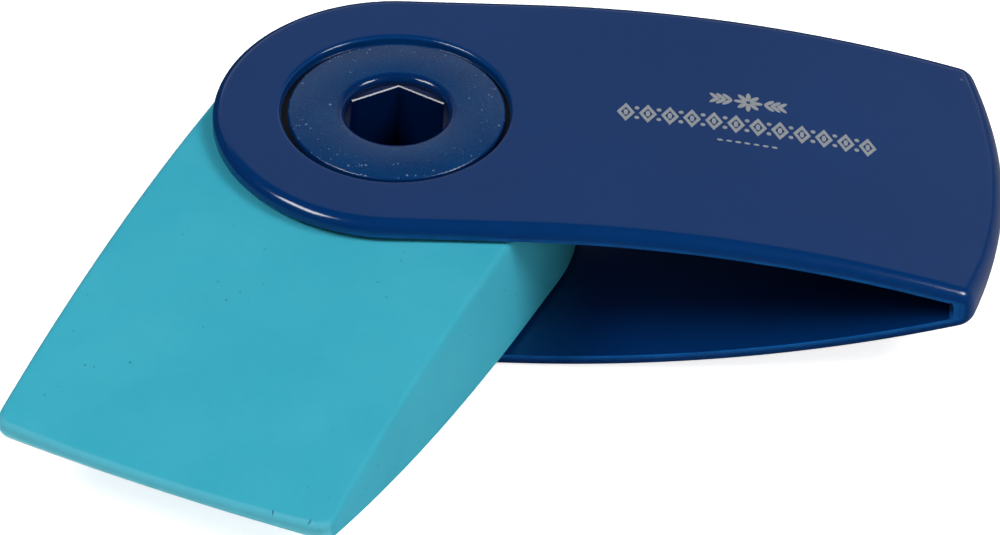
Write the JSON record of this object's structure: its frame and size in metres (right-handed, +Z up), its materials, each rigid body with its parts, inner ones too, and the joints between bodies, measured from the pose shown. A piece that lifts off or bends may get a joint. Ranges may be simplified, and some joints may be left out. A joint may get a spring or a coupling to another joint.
{
  "type": "swivel eraser",
  "caption": "Pocket swivel eraser: a rubber wedge that turns on a cord-eye hub out of a two-cheek plastic sleeve, its handle and cover.",
  "frame": {"origin": "on the pivot axis, at the plane the lower cheek rests on", "axes": "+Z up along the pivot axis, +X from the pivot to the sleeve's closed end; the eraser is swung out to the -Y side"},
  "size_m": [0.0665, 0.0495, 0.0121],
  "materials": {
    "sleeve_plastic": "polished dark blue moulding",
    "eraser_rubber": "matt powdery turquoise rubber",
    "hub_plastic": "fine spark-eroded dark blue texture, glossy eye"
  },
  "bodies": {
    "sleeve": {"sleeve": "sleeve_plastic"},
    "swivel": {"eraser": "eraser_rubber", "hub_upper": "hub_plastic", "hub_lower": "hub_plastic"}
  },
  "joints": [
    {"name": "eraser_swivel", "type": "hinge", "parent": "sleeve", "child": "swivel", "pos_m": [0, 0, 0.00605], "axis": [0, 0, 1], "continuous": true}
  ]
}
